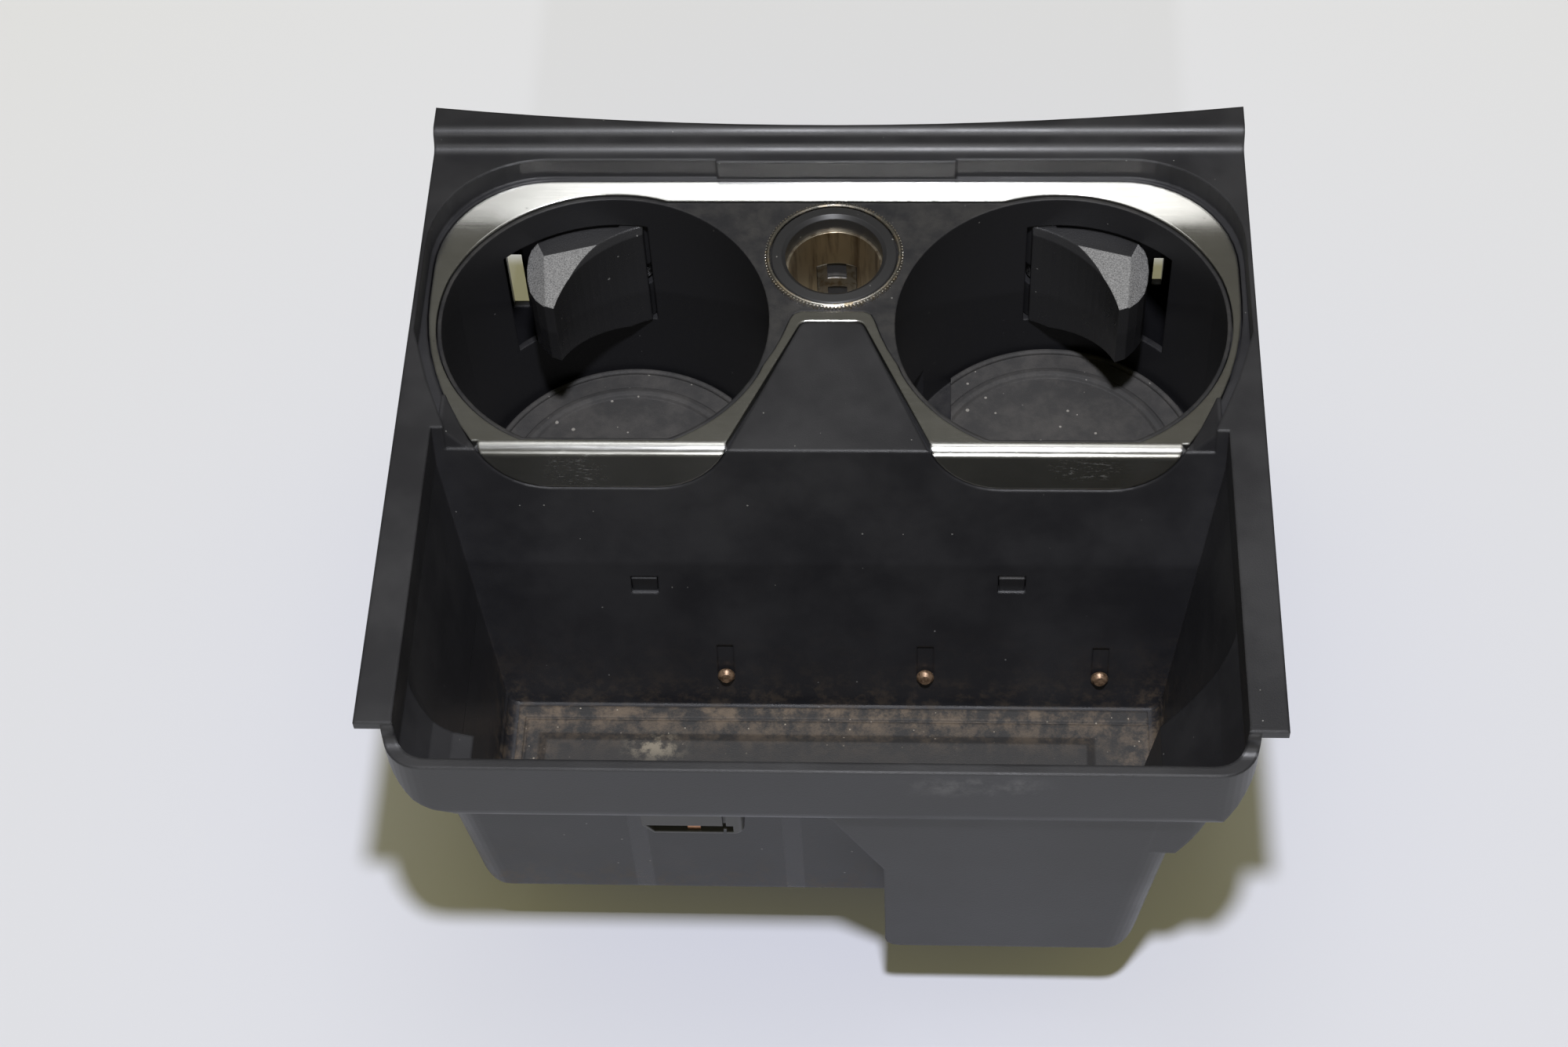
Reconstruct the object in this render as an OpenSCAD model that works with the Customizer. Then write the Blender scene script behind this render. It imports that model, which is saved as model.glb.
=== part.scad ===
// Console cup holder tray with two wells, a power socket and an open bin in front.
// Frame: origin under the middle of the part on the table, +X right, -Y bin side, +Z up, mm.
// Inner measures are taken from the middle between the wells on the trim top plane.

/* [Tray] */
// Width over the two side flanges
tray_w = 189; // [187:0.5:192]
// Height of the trim top plane above the table
deck_z = 106; // [102:1:112]
// Height of the side flange above the trim plane
flange_up = 6; // [5.5:0.25:6.5]
// Sheet thickness of the flange
flange_t = 2.2; // [2:0.1:2.6]
// Rise of the rear strip above the flange
rear_up = 4.6; // [4.6:0.1:5.2]
// Bow of the rear edge from the corners to the middle
rear_bow = 5.7; // [4.2:0.5:6.7]
// Wall thickness of the bin
bin_wall = 2.4; // [2:0.1:2.8]
// Depth of the bin underside below the trim plane
bin_drop = 78; // [74:1:82]
// Depth of the ledge on the outer front wall below the trim plane
ledge_drop = 17.5; // [16:0.5:19]

/* [Wells] */
// Half distance between the two wells
well_x = 51.8; // [51.6:0.1:52]
// Inner radius of a well
well_r = 37.6; // [37.2:0.1:37.7]
// Wall of a well
well_wall = 1.6; // [1.4:0.1:1.7]
// Depth of the left well floor below the trim plane
left_drop = 66; // [62:1:70]
// Depth of the right well floor below the trim plane
right_drop = 57.5; // [56:0.5:62]
// Distance from the well centre to the flat side of the mat
mat_chord = 24.5; // [23:0.5:26]

/* [Trim] */
// Thickness of the flat part of the trim
trim_t = 3; // [2.6:0.1:3.2]
// Thickness of the folded front lips of the trim
lip_t = 1.6; // [1.4:0.1:1.7]
// Gap all round the trim
trim_gap = 0.4; // [0.3:0.1:0.6]

/* [Flaps] */
// Radius of the flap hinge pins
pin_r = 1.5; // [1.4:0.1:1.6]
// Running clearance of the flaps on their pins
pin_clear = 0.06; // [0.04:0.01:0.1]
// Thickness of the flap skin
flap_skin = 2; // [1.8:0.1:2.2]

/* [Socket] */
// Outer radius of the bright socket ring
ring_r = 15.95; // [15.6:0.05:16.2]
// Radius of the mouth of the socket
mouth_r = 11.2; // [11.1:0.05:11.4]
// Inner radius of the metal socket barrel
barrel_r = 10.6; // [10.5:0.05:10.7]

/* [Hidden] */
half_w = tray_w / 2;
// distance from the middle of the depth back to the well centres
well_y = 30.5;
e = 0.05;

// front face of the well block: leans forward going down
face_y = -36;
face_lean = 0.244;
face_a = atan(face_lean);
face_k = sqrt(1 + face_lean * face_lean);
face_wall = 1.9;
bend_r = 3;
bend_y = face_y + bend_r * face_k - bend_r * face_lean;

// block under the wells
block_half = half_w - 0.5;
block_wall = 2.5;
block_rear = 50.5;
block_in_rear = 48.6;
deck_t = 7.5;
base_rim = 8;
base_t = 2.5;
flange_half = block_half - block_wall - 1;

// latch windows: middle and lower edge; slots in the rear wall: left edge, lower edge, width, height
latch = [[-42.5, -41.1], [41, -40.2]];
rear_slots = [[-82.6, -53, 4, 20], [76.6, -44, 2.4, 10]];

// trim outline
cor_x = 66;
cor_y = 16.7;
cor_r = 26;
side_x = 23.2;
side_y = 7.2;
side_r = 68.8;
chin_out = 76.9;
chin_in = 22.3;
leg_top = 7;
leg_y = 0.6;
chin_drop = 10.3;
chin_r = 17;
open_gap = 1.2;
open_chord = -33.2;
bar_y = 3.4;
band_y = 36.8;

// bin outline
bin_half = 89;
bin_front = -117.5;
rim_z = 1;
low_left_x = -79.5;
low_rear_x = 78.8;
low_rear_y = -88;
bump_top_x = 77;
bump_wide_x = 83;
bump_top_z = -17;
bump_low_x = 68.6;
low_left_y = -101.5;
low_right_y = -115.7;
bump_x = 13;
plan_r = 8;
edge_r = 5;
draft_z = -4;
floor_r = 5;
bump_r = 3;

// underside of the wide part: angle to the vertical, foot line and the corner on the right
slope_a = 31;
edge_in = edge_r * tan(slope_a / 2);
ledge_foot = -44.5;
corner_x = 85.4;
corner_z = -13;
bend_x = 74.6;
bend_z = -33.6;
edge_y = bin_front + edge_r * (1 - cos(slope_a));
edge_z = edge_in - ledge_drop - edge_r * sin(slope_a);

// wells
well_out = well_r + well_wall;
front_x = 0.7;
front_y = 1.8;
insert_off = 2.2;
cavity_off = 3.6;
niche_half = 21;
niche_high = 14;
niche_deep = 2.5;
mat_r = well_r - 1.4;

// bin mat
mat_t = 1.5;
mat_gap = 0.6;
mat_rear = -56.2;

// flap hinge, measured from the well centre
axis_a = 84.5;
axis_d = well_out + 2.3;
axis_x = axis_d * cos(axis_a);
axis_y = axis_d * sin(axis_a);
knuckle_r = 3.6;
flap_top = -10;
flange_low = -9.5;
flange_high = -7.6;
flap_low = -43.2;
flap_end_low = -30;
slot_a0 = 79.3;
slot_a1 = 134.5;
front_cx = 16;
front_cy = 7.2;
front_r = 31.1;
lug_t = 2;
lug_gap = 0.5;
slot_low = flap_low - lug_gap;
lug_r = 4.2;
coil_high = 7;
coil_mid = -28;

// socket
sock_y = 19.9;
sock_hole = 13.7;
sleeve_r = 13.4;
barrel_t = 0.6;
sock_low = -40.5;
barrel_low = sock_low + 5.2;
clip_high = 19;

// pegs
peg_x = [-25, 21.5, 62];
peg_z = -66;
peg_r = 1.2;

// bracket on the front wall
brk_x0 = -38.3;
brk_x1 = -16.7;
brk_y = -112;
brk_z0 = -34.4;
brk_z1 = -22.5;
slot_z0 = brk_z0 + 0.6;
slot_z1 = -31.3;
brk_in = ledge_at(brk_z0 + 1.4);

function arc(cx, cy, r, a0, a1, n) =
    [for (i = [0 : n]) [cx + r * cos(a0 + (a1 - a0) * i / n), cy + r * sin(a0 + (a1 - a0) * i / n)]];
function flip(p) = [for (i = [len(p) - 1 : -1 : 0]) [-p[i][0], p[i][1]]];
function face_at(z) = face_y + face_lean * z;

// front of the sloping underside at height z
function ledge_at(z) = low_left_y + 0.3 + (z - ledge_foot) * (edge_y - low_left_y - 0.3) / (edge_z - ledge_foot);

// moves the inner frame to its place over the table
module place() {
    translate([0, well_y, deck_z]) children();
}

// prism along X from a profile drawn in Y and Z
module along_x(x0, x1) {
    translate([x0, 0, 0]) rotate([90, 0, 90]) linear_extrude(x1 - x0) children();
}

// prism along Y from a profile drawn in X and Z
module along_y(y0, y1) {
    translate([0, y1, 0]) rotate([90, 0, 0]) linear_extrude(y1 - y0) children();
}

// everything behind the front face, moved back by off
module behind_face(off) {
    translate([0, face_y + off * face_k, 0]) rotate([-face_a, 0, 0])
        translate([-120, 0, -200]) cube([240, 160, 260]);
}

// half outline of the trim grown by g, front edge at yf
function trim_half(g, yf) = concat(
    [[0, cor_y + cor_r + g]],
    arc(cor_x, cor_y, cor_r + g, 90, 0, 12),
    arc(side_x, side_y, side_r + g, 0, asin((yf - side_y) / (side_r + g)), 8),
    [[chin_in - g * 1.084, yf]],
    arc(leg_top - 1.66, leg_y - 2.5, 2.5 - g, 22.7, 90, 4),
    [[0, leg_y - g]]);
module trim_plan(g, yf) {
    polygon(concat(trim_half(g, yf), flip(trim_half(g, yf))));
}

// outline of one well grown by g, a little flatter at the front
module well_plan(s, g) {
    intersection() {
        translate([s * well_x, 0]) circle(well_r + g, $fn = 96);
        translate([s * (well_x - front_x), front_y]) circle(well_r + 0.1 + g, $fn = 96);
    }
}

// opening of the trim grown by g
module open_plan(g) {
    for (s = [-1, 1]) intersection() {
        well_plan(s, open_gap + g);
        translate([s * well_x - 50, open_chord - g]) square([100, 100]);
    }
    polygon(concat(mid_half(g), flip(mid_half(g))));
}
function mid_half(g) = [[0, band_y + g], [40, band_y + g], [40, 0], [17 - g, -16], [12.6 - g, -7.6], [11 - g, -3.7],
                        [9.4 - g, 1.2], [8.6 - g, 2.6 - g], [7 - g, bar_y - g], [0, bar_y - g]];

// outline of the front lips in X and Z, grown by g
module lip_plan(g) {
    for (s = [0, 1]) mirror([s, 0]) polygon(concat(
        [[chin_in - 1.1 * g, 4]],
        arc(38, chin_r - chin_drop, chin_r + g, 197, 270, 8),
        arc(61.6, chin_r - chin_drop, chin_r + g, 270, 343, 8),
        [[chin_out + 0.9 + 1.3 * g, 4]]));
}

// recess around the trim
function recess_half() = concat(
    [[0, 44.1]],
    arc(half_w - 27.1, 18.1, 26, 90, 0, 12),
    [[half_w - 1.1, -7], [half_w - 5, -20], [half_w - 10.5, -34], [half_w - 10.5, -60], [0, -60]]);

// side view of the step up to the rear strip
module rear_profile() {
    polygon(concat(
        [[45, flange_up]],
        arc(45.6, flange_up + 2.6, 2.6, -90, -25, 6),
        arc(50.9, flange_up + rear_up - 2.5, 2.5, 155, 90, 6),
        [[62, flange_up + rear_up], [62, flange_up + rear_up - flange_t]],
        arc(50.9, flange_up + rear_up - 2.5, 2.5 - flange_t, 90, 155, 3),
        arc(45.6, flange_up + 2.6, 2.6 + flange_t, -25, -90, 6),
        [[45, flange_up - flange_t]]));
}

// plan of the flange sheet with the bowed rear edge
module flange_plan() {
    bow_r = (half_w * half_w + rear_bow * rear_bow) / (2 * rear_bow);
    rear_mid = 50.8;
    polygon(concat(
        [for (i = [0 : 16]) let (x = half_w - i * tray_w / 16)
            [x, rear_mid + bow_r - sqrt(bow_r * bow_r - x * x)]],
        [[-half_w, -110], [half_w, -110]]));
}

// thin slice of the bin body for the slanting stretches
module slice(x0, x1, y0, z) {
    translate([0, 0, z]) linear_extrude(0.02) round_box(x0, x1, y0, 0, plan_r - 1);
}

// bin body moved in by g, open upwards when g is more than zero
module bin_shape(g) {
    top = g > 0 ? 30 : flange_up;
    lift = 0.27 * g;
    foot = ledge_foot + lift;
    floor_z = g - bin_drop;
    turn = floor_r - g;
    bump_turn = bump_r - g;
    // wide upper body, its underside slopes back to the lower body
    intersection() {
        translate([0, 0, foot]) linear_extrude(top - foot)
            round_box(-bin_half + g, bin_half - g, bin_front + g, 0, plan_r - g / 2);
        along_x(-100, 100) polygon(concat([[bin_front + g, top]],
            arc(bin_front + g + edge_r, edge_in - ledge_drop + lift, edge_r, 180, 180 + slope_a, 3),
            [[low_left_y + g + 0.3, foot], [10, foot], [10, top]]));
        along_y(-130, 10) polygon([[-100, top], [100, top], [100, draft_z], [bin_half - g, draft_z],
            [corner_x - g, corner_z + lift], [bend_x - g, bend_z + lift],
            [bend_x - 2 - g, foot - 0.01], [0.1 + g - side_at(-low_left_x, foot), foot - 0.01],
            [g - 76, lift - ledge_drop], [g - 80.3, lift + 1.6 - ledge_drop], [g - 84.2, lift + 4.5 - ledge_drop],
            [g - 86.6, lift + 8.5 - ledge_drop], [g - bin_half, draft_z], [-100, draft_z]]);
    }
    // lower body with slanting sides, set back at the front
    intersection() {
        hull() {
            slice(-bin_half + g, 20, low_left_y + g, draft_z);
            slice(low_left_x + g, 20, low_left_y + g, floor_z);
        }
        along_y(-130, 10) polygon(concat([[-100, 0], [-100, -30]],
            arc(low_left_x + g + turn, floor_z + turn, turn, 180, 270, 5), [[70, floor_z], [70, 0]]));
    }
    intersection() {
        hull() {
            slice(-20, bin_half - g, low_rear_y + g, draft_z);
            slice(-20, low_rear_x - g, low_rear_y + g, floor_z);
        }
        along_y(-130, 10) polygon(concat([[-10, 0], [-10, floor_z]],
            arc(low_rear_x - g - turn, floor_z + turn, turn, 270, 360, 5), [[100, -30], [100, 0]]));
    }
    // lower body that stands forward on the right
    intersection() {
        hull() {
            slice(-20, bump_top_x - g, low_right_y + g, bump_top_z);
            slice(-20, bump_low_x - g, low_right_y + g, floor_z);
        }
        along_y(-130, 10) polygon(concat([[g * 0.9 - 5, 0], [g * 0.9 - 5, g * 0.7 - 15.5], [g * 0.9 + 2.2, g * 0.5 - 21.5],
            [bump_x + g, g * 0.3 - 42.6]], arc(bump_x + g + bump_turn, floor_z + bump_turn, bump_turn, 180, 270, 3),
            arc(bump_low_x - g - turn, floor_z + turn, turn, 270, 360, 5), [[100, -30], [100, 0]]));
    }
    // its shoulder below the wide part
    intersection() {
        translate([0, 0, bend_z + lift - 0.5]) linear_extrude(bump_top_z - bend_z)
            round_box(20, bump_wide_x - g, low_right_y + g + 0.1, 0, plan_r - 1);
        along_y(-130, 10) polygon([[10, 0], [10, bend_z + lift - 0.8], [bend_x - 0.4 - g, bend_z + lift - 0.8],
            [bump_wide_x - g - 0.1, bump_top_z + lift], [bump_wide_x - g - 0.1, 0]]);
    }
}

// distance of a slanting side wall from the middle at height z, low is its distance at the floor
function side_at(low, z) = bin_half - (bin_half - low) * (draft_z - z) / (bin_drop + draft_z);

// plan rectangle with rounded front corners
module round_box(x0, x1, y0, y1, r) {
    polygon(concat(
        arc(x0 + r, y0 + r, r, 180, 270, 8),
        arc(x1 - r, y0 + r, r, 270, 360, 8),
        [[x1, y1], [x0, y1]]));
}

// side view that drops the rim in front of the flange ends
module rim_profile() {
    polygon(concat(
        [[-130, -120], [-130, rim_z]],
        arc(-113.4, rim_z + 2.5, 2.5, -90, 0, 5),
        arc(-108.4, flange_up - 2.5, 2.5, 180, 90, 5),
        [[60, flange_up], [60, -120]]));
}

// side view of the block under the wells
module block_profile() {
    polygon(concat(
        [[block_rear, 4], [-24, 4], [-24, 0]],
        arc(bend_y, -bend_r, bend_r, 90, 180 - face_a, 6),
        [[face_at(-bin_drop), -bin_drop], [face_at(-bin_drop), -deck_z], [block_rear, -deck_z]]));
}

module tray_body() color("#1d1d1f") place() {
    face_ramps();
    difference() {
        union() {
            // flange sheet and rear strip
            difference() {
                translate([0, 0, flange_up - flange_t]) linear_extrude(flange_t) flange_plan();
                translate([-120, 45 + e, -10]) cube([240, 40, 40]);
            }
            intersection() {
                along_x(-half_w, half_w) rear_profile();
                translate([0, 0, -10]) linear_extrude(40) flange_plan();
            }
            // bin shell with its dropped rim
            intersection() {
                bin_shape(0);
                along_x(-100, 100) rim_profile();
            }
            // block under the wells
            intersection() {
                along_x(-block_half, block_half) block_profile();
                translate([0, 0, -deck_z]) linear_extrude(deck_z + 10)
                    polygon([[-block_half, -70], [block_half, -70], [block_half, 44], [block_half - 6.5, block_rear],
                             [6.5 - block_half, block_rear], [-block_half, 44]]);
            }
        }
        // inside of the bin
        difference() {
            bin_shape(bin_wall);
            behind_face(0);
            translate([-120, -24, -80]) cube([240, 60, 200]);
            bend_fill();
        }
        // recess around the trim
        difference() {
            linear_extrude(20) polygon(concat(recess_half(), flip(recess_half())));
            translate([-28, 43.4, -1]) cube([56, 2, 30]);
        }
        // pocket for trim and insert, with the front lips cut through the face
        translate([0, 0, -trim_t]) linear_extrude(20) trim_plan(trim_gap, face_y + 0.2);
        along_y(-60, -33) lip_plan(trim_gap);
        // openings in the floor of the pocket
        intersection() {
            translate([0, 0, -30]) linear_extrude(30) union() {
                well_plan(-1, well_wall + 0.3);
                well_plan(1, well_wall + 0.3);
                open_plan(0.3);
            }
            behind_face(face_wall);
        }
        // hollow under the deck
        intersection() {
            translate([0, 0, base_t - deck_z]) linear_extrude(deck_z - deck_t - base_t) polygon([
                [block_wall - block_half, -70], [block_half - block_wall, -70], [block_half - block_wall, 44 - 1.5],
                [block_half - 8.1, block_in_rear], [8.1 - block_half, block_in_rear], [block_wall - block_half, 44 - 1.5]]);
            behind_face(face_wall);
            translate([-120, face_at(-bin_drop) + face_wall, -120]) cube([240, 140, 140]);
        }
        translate([base_rim - block_half, face_at(-bin_drop) + base_rim, -deck_z - 1])
            cube([2 * (block_half - base_rim), block_rear - face_at(-bin_drop) - 2 * base_rim, base_t + 2]);
        // clearance windows behind the flaps
        for (w = rear_slots) translate([w[0], block_in_rear - 2, w[1]]) cube([w[2], 10, w[3]]);
        // latch windows in the face
        for (w = latch) translate([w[0] - 3.1, -50, w[1]]) cube([6.2, 12, 4.8]);
        // channels and holes of the pegs
        for (x = peg_x) {
            translate([x, 0, peg_z]) intersection() {
                translate([-1.9, -60, 0]) cube([3.8, 60, 9]);
                translate([0, 0, -peg_z]) difference() {
                    translate([-3, -70, -90]) cube([6, 80, 90]);
                    behind_face(0.5);
                }
            }
            translate([x, face_at(peg_z), peg_z]) rotate([-90 - face_a, 0, 0]) translate([0, 0, -3])
                cylinder(r = peg_r + 0.05, h = 8, $fn = 24);
        }
        // hole through which the wire of the bracket contact leaves
        translate([brk_x0 + 11, brk_in - 1.5, brk_z0 + 1.4]) rotate([-90, 0, 0]) cylinder(r = 1, h = 6, $fn = 24);
    }
}

// ramps from the trim plane up to the flange at both ends of the block face
module face_ramps() {
    for (s = [0, 1]) mirror([s, 0, 0]) difference() {
        intersection() {
            along_y(-40, -25) polygon([[77, -2.3], [79.2, -0.1], [84.6, 5.3], [85.4, 5.3], [85.4, -2.3]]);
            behind_face(0.3);
        }
        translate([0, 0, -trim_t]) linear_extrude(20) trim_plan(trim_gap, face_y + 0.2);
        along_y(-60, -33) lip_plan(trim_gap);
    }
}

// keeps the rounded top edge of the block out of the bin cut
module bend_fill() {
    along_x(-120, 120) polygon(concat(
        [[-20, 0], [-20, -20], [face_at(-20), -20]],
        arc(bend_y, -bend_r, bend_r, 180 - face_a, 90, 6)));
}

module trim_frame() color("#b9bcbf") place() {
    // flat part
    difference() {
        translate([0, 0, -trim_t]) linear_extrude(trim_t) trim_plan(0, bend_y);
        translate([0, 0, -10]) linear_extrude(20) open_plan(0);
    }
    // folded front lips
    difference() {
        intersection() {
            along_x(-100, 100) lip_profile();
            along_y(-60, -20) lip_plan(0);
        }
        translate([0, 0, -10]) linear_extrude(20) open_plan(0);
    }
}

// side view of the folded lips
module lip_profile() {
    polygon(concat(
        [[bend_y + 1.2, 0]],
        arc(bend_y, -bend_r, bend_r, 90, 180 - face_a, 8),
        [[face_at(-20), -20], [face_at(-20) + lip_t * face_k, -20]],
        arc(bend_y, -bend_r, bend_r - lip_t, 180 - face_a, 90, 6),
        [[bend_y + 1.2, -lip_t]]));
}

// one well, s is the side, d the depth of its floor
module well_out_shape(s, d) {
    intersection() {
        translate([0, 0, -d - 2]) linear_extrude(d + 2 - trim_t - e) well_plan(s, well_wall);
        behind_face(insert_off);
    }
    // closed pocket behind the niche
    intersection() {
        translate([s * (well_x - well_r - niche_deep - 3.5) - (s < 0 ? 22 : 0), -niche_half - 1.5, -d - 2])
            cube([22, 2 * niche_half + 3, niche_high + 3.5]);
        translate([s * well_x, 0, -d - 3]) cylinder(r = well_r + niche_deep + 1.5, h = d, $fn = 96);
    }
    // lower lug that carries the flap hinge pin
    translate([s * well_x, 0, slot_low - lug_t]) mirror([s > 0 ? 1 : 0, 0, 0]) {
        translate([axis_x, axis_y, 0]) cylinder(r = lug_r, h = lug_t, $fn = 40);
        linear_extrude(lug_t) polygon([[axis_x - 3.6, axis_y + 0.4], [axis_x + 3.6, axis_y + 0.4],
            [axis_x + 6, well_r + 0.3], [axis_x - 6, well_r + 0.3]]);
    }
}

module well_in_shape(s, d) {
    intersection() {
        translate([0, 0, -d]) linear_extrude(d + 5) well_plan(s, 0);
        behind_face(cavity_off);
    }
    // niche low on the middle side
    intersection() {
        translate([s * (well_x - well_r - niche_deep - 2) - (s < 0 ? 22 : 0), -niche_half, -d])
            cube([22, 2 * niche_half, niche_high]);
        translate([s * well_x, 0, -d - 1]) cylinder(r = well_r + niche_deep, h = d, $fn = 96);
    }
    // slot for the flap, round about the hinge
    translate([s * well_x, 0, slot_low]) mirror([s > 0 ? 1 : 0, 0, 0]) linear_extrude(flange_low - slot_low)
        polygon([[0, 0], [60 * cos(slot_a0), 60 * sin(slot_a0)], [60 * cos(slot_a1), 60 * sin(slot_a1)]]);
    translate([s * (well_x - axis_x), axis_y, slot_low]) cylinder(r = lug_r + 0.6, h = flange_low - slot_low, $fn = 40);
}

module cup_insert() color("#141416") place() {
    difference() {
        union() {
            // flange fastened under the deck and the raised deck inside the trim
            intersection() {
                translate([0, 0, flange_low]) linear_extrude(flange_high - flange_low) polygon([
                    [-flange_half, -40], [flange_half, -40], [flange_half, 42], [flange_half - 4.3, 46.5],
                    [4.3 - flange_half, 46.5], [-flange_half, 42]]);
                behind_face(insert_off);
            }
            translate([0, 0, flange_low]) linear_extrude(-0.5 - flange_low) open_plan(-0.3);
            well_out_shape(-1, left_drop);
            well_out_shape(1, right_drop);
            // latch tabs that show in the windows of the tray face
            for (w = latch) translate([w[0] - 2.9, -45.2, w[1] + 0.2]) cube([5.8, 8.5, 4.4]);
        }
        well_in_shape(-1, left_drop);
        well_in_shape(1, right_drop);
        // hole of the socket
        translate([0, sock_y, -20]) cylinder(r = sock_hole, h = 30, $fn = 72);
        // pin bores in the flange and the lugs
        for (s = [-1, 1]) translate([s * (well_x - axis_x), axis_y, -60]) cylinder(r = pin_r + 0.02, h = 54, $fn = 32);
    }
}

// round mat with raised rings, cut flat on the middle side
module cup_mat(s, d) {
    difference() {
        translate([s * (well_x - front_x / 2), front_y / 2, -d]) rotate_extrude($fn = 96) polygon([[0, 0], [mat_r, 0],
            [mat_r, 2.4], [mat_r - 0.4, 2.8], [mat_r - 1, 2.8], [mat_r - 1.4, 2.4], [mat_r - 1.4, 1.8], [30.6, 1.8],
            [30.1, 2.5], [29, 2.7], [28, 2.5], [27.4, 1.8], [0, 1.8]]);
        translate([s * (well_x - mat_chord) - (s < 0 ? 0 : 20), -50, -d - 1]) cube([20, 100, 10]);
    }
}
module cup_mat_left() color("#2b2a2a") place() cup_mat(-1, left_drop);
module cup_mat_right() color("#2b2a2a") place() cup_mat(1, right_drop);

module bin_mat() color("#2a2826") place() translate([0, 0, bin_wall - bin_drop]) {
    side_in = floor_r + 0.2;
    front_in = bin_wall + mat_gap;
    difference() {
        union() {
            linear_extrude(mat_t) round_box(low_left_x + side_in, bump_low_x - side_in, low_left_y + front_in, mat_rear, 6.8);
            linear_extrude(mat_t) round_box(bump_x + bump_r + 0.4, bump_low_x - side_in, low_right_y + front_in, mat_rear, 6.8);
            linear_extrude(mat_t) round_box(20, low_rear_x - side_in, low_rear_y + front_in, mat_rear, 6.8);
            // soft raised field
            hull() {
                translate([0, 0, mat_t - 0.1]) linear_extrude(0.1) round_box(-69, 61, -94, -63.6, 3);
                translate([0, 0, 2.2]) linear_extrude(0.3) round_box(-67, 59, -92, -66, 2);
            }
        }
        // rolled edge line of the mat
        translate([0, 0, 1.1]) linear_extrude(1) difference() {
            square_between(-72.6, 80, -97, -59.3);
            square_between(-72, 80, -96.4, -59.9);
        }
    }
}
module square_between(x0, x1, y0, y1) {
    translate([x0, y0]) square([x1 - x0, y1 - y0]);
}

// outline of the flap seen from above, measured from the well centre
module flap_plan() {
    polygon(concat(
        arc(front_cx, front_cy, front_r, 109.4, 165, 12),
        [[-16.4, 15.9], [-18.6, 18.4], [-20.2, 21.2], [-21, 24.2], [-21.3, 27.2], [-21, 30]],
        arc(0, 0, well_r - 0.25, 123, 90, 10),
        [[axis_x - 2, axis_y + 1], [axis_x + 2, axis_y + 1]]));
}

module flap() {
    difference() {
        union() {
            translate([0, 0, flap_low]) linear_extrude(flap_top - flap_low) flap_plan();
            translate([axis_x, axis_y, flap_low]) cylinder(r = knuckle_r, h = flap_top - flap_low, $fn = 40);
        }
        // bore of the hinge
        translate([axis_x, axis_y, -60]) cylinder(r = pin_r + pin_clear, h = 60, $fn = 32);
        // gap for the spring coil
        translate([axis_x, axis_y, coil_mid - coil_high / 2]) cylinder(r = knuckle_r + 0.6, h = coil_high, $fn = 40);
        // hollow from behind, under the top skin
        difference() {
            translate([0, 0, -60]) linear_extrude(60 + flap_top - 4 * flap_skin) polygon([[0, 30], [-10, 15],
                [-15.2, 17.6], [-17, 19.6], [-18.4, 22], [-19.2, 24.6], [-19.5, 27.2], [-19.2, 31], [-18.4, 40], [0, 46]]);
            translate([front_cx, front_cy, -70]) cylinder(r = front_r + flap_skin, h = 70, $fn = 120);
        }
        // lower edge, slanting up over 31 mm from the hinge side
        translate([5.6, 36.6, 0]) rotate([0, 0, 229.6]) along_y(-40, 40) polygon([
            [3, flap_low - 2 * (flap_end_low - flap_low) / 31], [36, flap_end_low], [60, flap_end_low], [60, -70], [3, -70]]);
        // bevel along the upper front edge
        translate([0, 0, flap_top]) rotate_bevel();
        // sloping facet towards the cup and steeper bevel at the free end
        above([-4.8, 31.8, flap_top], -74, 15.2);
        above([-17, 28.3, flap_top], -155.7, 38.7);
    }
}

// cone that trims the upper front edge of a flap
module rotate_bevel() {
    translate([front_cx, front_cy, 0]) rotate_extrude($fn = 120)
        polygon([[front_r - 3, -2.6], [front_r - 0.5, -2.6], [front_r + 1.2, 0.2], [front_r + 1.2, 1], [front_r - 3, 1]]);
}

// everything above a plane through p that falls by tilt in the direction a
module above(p, a, tilt) {
    translate(p) rotate([0, 0, a]) rotate([0, tilt, 0]) translate([-30, -30, 0]) cube([60, 60, 30]);
}

module flap_left() color("#17171a") place() translate([-well_x, 0, 0]) flap();
module flap_right() color("#17171a") place() translate([well_x, 0, 0]) mirror([1, 0, 0]) flap();

module hinge_pin(s) {
    translate([s * (well_x - axis_x), axis_y, slot_low - lug_t - 0.6])
        cylinder(r = pin_r, h = flange_high - slot_low + lug_t + 0.4, $fn = 32);
}
module flap_pin_left() color("#8d9094") place() hinge_pin(-1);
module flap_pin_right() color("#8d9094") place() hinge_pin(1);

// closed coil round the pin with one leg resting on the well wall
module spring(s) {
    translate([s * (well_x - axis_x), axis_y, coil_mid]) mirror([s > 0 ? 1 : 0, 0, 0]) {
        for (i = [-3 : 3]) translate([0, 0, i * 0.66]) rotate_extrude($fn = 32) translate([2.3, 0]) circle(0.36, $fn = 16);
        translate([2.3, 0, 1.98]) rotate([0, 90, 0]) cylinder(r = 0.36, h = 5.5, $fn = 16);
        translate([2.3, 0, -1.98]) rotate([-90, 0, 0]) cylinder(r = 0.36, h = 3.4, $fn = 16);
    }
}
module flap_spring_left() color("#9a9da1") place() spring(-1);
module flap_spring_right() color("#9a9da1") place() spring(1);

module socket_ring() color("#c6c2b8") place() translate([0, sock_y, -0.5]) rotate_extrude($fn = 96)
    polygon([[14.7, 0], [ring_r, 0], [ring_r, 1], [ring_r - 0.25, 1.35], [14.95, 1.35], [14.7, 1.1]]);

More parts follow.
